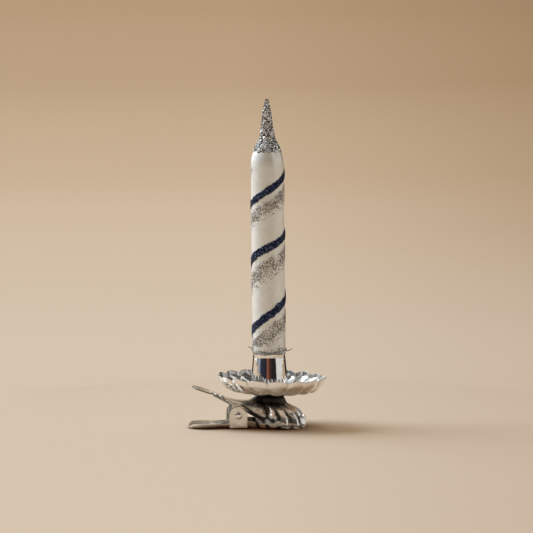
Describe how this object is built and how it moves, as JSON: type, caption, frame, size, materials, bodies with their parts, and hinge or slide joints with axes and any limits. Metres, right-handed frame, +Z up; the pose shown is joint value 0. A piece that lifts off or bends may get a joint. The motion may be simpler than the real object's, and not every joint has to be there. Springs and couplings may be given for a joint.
{
  "type": "clip-on tree candle",
  "caption": "Glass tree candle in a tapered tin cup on a scalloped drip pan, riveted to a sprung shell-shaped clip.",
  "frame": {"origin": "on the flat underside of the lower jaw, straight below the rivet that carries the drip pan", "axes": "+Z up along the candle, +X from the thumb levers towards the tips of the jaws"},
  "size_m": [0.054, 0.0424, 0.127],
  "materials": {
    "tin": "bright",
    "spring_wire": "drawn",
    "silvered_glass": "satin",
    "cement": "matt"
  },
  "bodies": {
    "lower_clip": {"lower_jaw": "tin", "hinge_pin": "tin", "torsion_spring": "spring_wire"},
    "upper_clip": {"upper_jaw": "tin", "drip_pan": "tin", "cup_rivet": "tin", "candle_cup": "tin", "cement_plug": "cement", "glass_candle": "silvered_glass", "binding_wire": "spring_wire"}
  },
  "joints": [
    {"name": "jaw_hinge", "type": "hinge", "parent": "lower_clip", "child": "upper_clip", "pos_m": [-0.01275, 0, 0.0052], "axis": [0, -1, 0], "range_deg": [0, 35], "stiffness_Nm_per_rad": 0.1, "springref_deg": -34.38, "deforming": ["torsion_spring"]}
  ]
}
